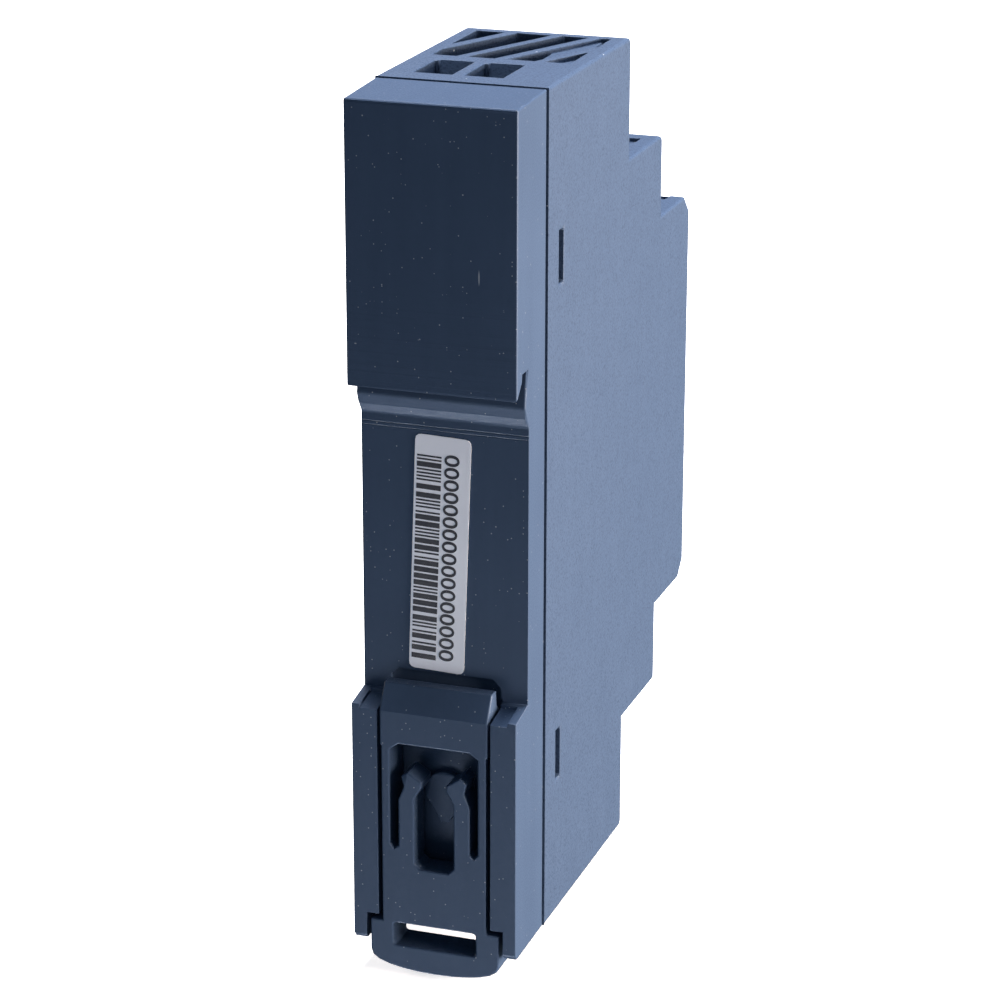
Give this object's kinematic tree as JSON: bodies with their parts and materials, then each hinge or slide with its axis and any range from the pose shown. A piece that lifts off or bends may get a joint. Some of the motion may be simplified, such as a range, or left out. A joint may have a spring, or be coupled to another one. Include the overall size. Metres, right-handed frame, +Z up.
{
  "type": "din rail power supply",
  "caption": "Narrow modular power supply that snaps onto a 35 mm DIN rail: stepped vented case, rear hook and sliding latch, screw clamps, voltage trimmer and status light.",
  "frame": {"origin": "middle of the rail seat: mid width, mid height, on the face that the rail's lips rest on", "axes": "+Y back to the rail, -Y out to the front of the cabinet, +Z up with the latch at the lower end, +X to the right seen from the front"},
  "size_m": [0.018, 0.06, 0.092],
  "materials": {
    "slate_plastic": "moulded glass-filled polyamide, blue-grey, satin on the rail side and finely spark-eroded on the sides",
    "label_paper": "printed film sticker, satin",
    "terminal_plastic": "moulded, satin",
    "zinc_plated_steel": "bright zinc plate",
    "screw_steel": "zinc plated, turned",
    "tinned_copper": "tin plated",
    "board_green": "solder mask over glass epoxy",
    "insulating_film": "translucent polyester film",
    "led_green": "clear tinted epoxy",
    "clear_lens": "clear moulded light guide",
    "trimmer_blue": "moulded",
    "trimmer_white": "moulded",
    "capacitor_sleeve": "shrink sleeve, glossy",
    "ferrite": "sintered, matt",
    "enamelled_copper": "enamelled wire",
    "bobbin_plastic": "phenolic",
    "winding_tape": "polyester tape over copper",
    "black_epoxy": "transfer-moulded epoxy",
    "fuse_brown": "moulded",
    "varistor_blue": "dipped epoxy",
    "thermistor_green": "dipped",
    "film_capacitor_yellow": "moulded box",
    "ceramic_blue": "dipped epoxy",
    "aluminium": "extruded"
  },
  "bodies": {
    "case": {"front_housing": "slate_plastic", "rear_housing": "slate_plastic", "serial_label": "label_paper", "input_terminal_block": "terminal_plastic", "output_terminal_block": "terminal_plastic", "neutral_contact_bar": "tinned_copper", "line_contact_bar": "tinned_copper", "negative_contact_bar": "tinned_copper", "positive_contact_bar": "tinned_copper", "main_board": "board_green", "front_board": "board_green", "insulating_sheet": "insulating_film", "status_led": "led_green", "status_lens": "clear_lens", "trimmer_body": "trimmer_blue", "bulk_capacitor": "capacitor_sleeve", "output_capacitor_rear": "capacitor_sleeve", "output_capacitor_front": "capacitor_sleeve", "choke_core": "ferrite", "transformer_core_lower": "ferrite", "transformer_core_upper": "ferrite", "output_choke_core": "ferrite", "choke_winding_rear": "enamelled_copper", "choke_winding_front": "enamelled_copper", "output_choke_winding": "enamelled_copper", "transformer_bobbin": "bobbin_plastic", "transformer_winding": "winding_tape", "bridge_rectifier": "black_epoxy", "switching_controller": "black_epoxy", "optocoupler": "black_epoxy", "output_rectifier": "black_epoxy", "fuse": "fuse_brown", "varistor": "varistor_blue", "inrush_thermistor": "thermistor_green", "line_filter_capacitor": "film_capacitor_yellow", "safety_capacitor": "ceramic_blue", "heatsink": "aluminium"},
    "latch": {"latch_slider": "slate_plastic"},
    "trimmer": {"trimmer_rotor": "trimmer_white"},
    "neutral_screw": {"neutral_clamp_screw": "screw_steel"},
    "neutral_cage": {"neutral_clamp_cage": "zinc_plated_steel"},
    "line_screw": {"line_clamp_screw": "screw_steel"},
    "line_cage": {"line_clamp_cage": "zinc_plated_steel"},
    "negative_screw": {"negative_clamp_screw": "screw_steel"},
    "negative_cage": {"negative_clamp_cage": "zinc_plated_steel"},
    "positive_screw": {"positive_clamp_screw": "screw_steel"},
    "positive_cage": {"positive_clamp_cage": "zinc_plated_steel"}
  },
  "joints": [
    {"name": "latch_slide", "type": "slide", "parent": "case", "child": "latch", "axis": [0, 0, -1], "range_m": [0, 0.0036], "stiffness_N_per_m": 4000},
    {"name": "trimmer_turn", "type": "hinge", "parent": "case", "child": "trimmer", "pos_m": [0.0012, -0.0523, -0.014], "axis": [0, 1, 0], "range_deg": [-130, 130]},
    {"name": "neutral_screw_turn", "type": "hinge", "parent": "case", "child": "neutral_screw", "pos_m": [-0.0012, -0.0202, 0.0366], "axis": [0, 1, 0], "range_deg": [0, 2561]},
    {"name": "neutral_clamp_slide", "type": "slide", "parent": "case", "child": "neutral_cage", "axis": [0, -1, 0], "range_m": [0, 0.0032]},
    {"name": "line_screw_turn", "type": "hinge", "parent": "case", "child": "line_screw", "pos_m": [0.00408, -0.0202, 0.0366], "axis": [0, 1, 0], "range_deg": [0, 2561]},
    {"name": "line_clamp_slide", "type": "slide", "parent": "case", "child": "line_cage", "axis": [0, -1, 0], "range_m": [0, 0.0032]},
    {"name": "negative_screw_turn", "type": "hinge", "parent": "case", "child": "negative_screw", "pos_m": [-0.0012, -0.0202, -0.0366], "axis": [0, 1, 0], "range_deg": [0, 2561]},
    {"name": "negative_clamp_slide", "type": "slide", "parent": "case", "child": "negative_cage", "axis": [0, -1, 0], "range_m": [0, 0.0032]},
    {"name": "positive_screw_turn", "type": "hinge", "parent": "case", "child": "positive_screw", "pos_m": [0.00408, -0.0202, -0.0366], "axis": [0, 1, 0], "range_deg": [0, 2561]},
    {"name": "positive_clamp_slide", "type": "slide", "parent": "case", "child": "positive_cage", "axis": [0, -1, 0], "range_m": [0, 0.0032]}
  ],
  "couplings": [
    {"joint": "neutral_screw_turn", "follows": "neutral_clamp_slide", "rad_per_m": 13963},
    {"joint": "line_screw_turn", "follows": "line_clamp_slide", "rad_per_m": 13963},
    {"joint": "negative_screw_turn", "follows": "negative_clamp_slide", "rad_per_m": 13963},
    {"joint": "positive_screw_turn", "follows": "positive_clamp_slide", "rad_per_m": 13963}
  ]
}
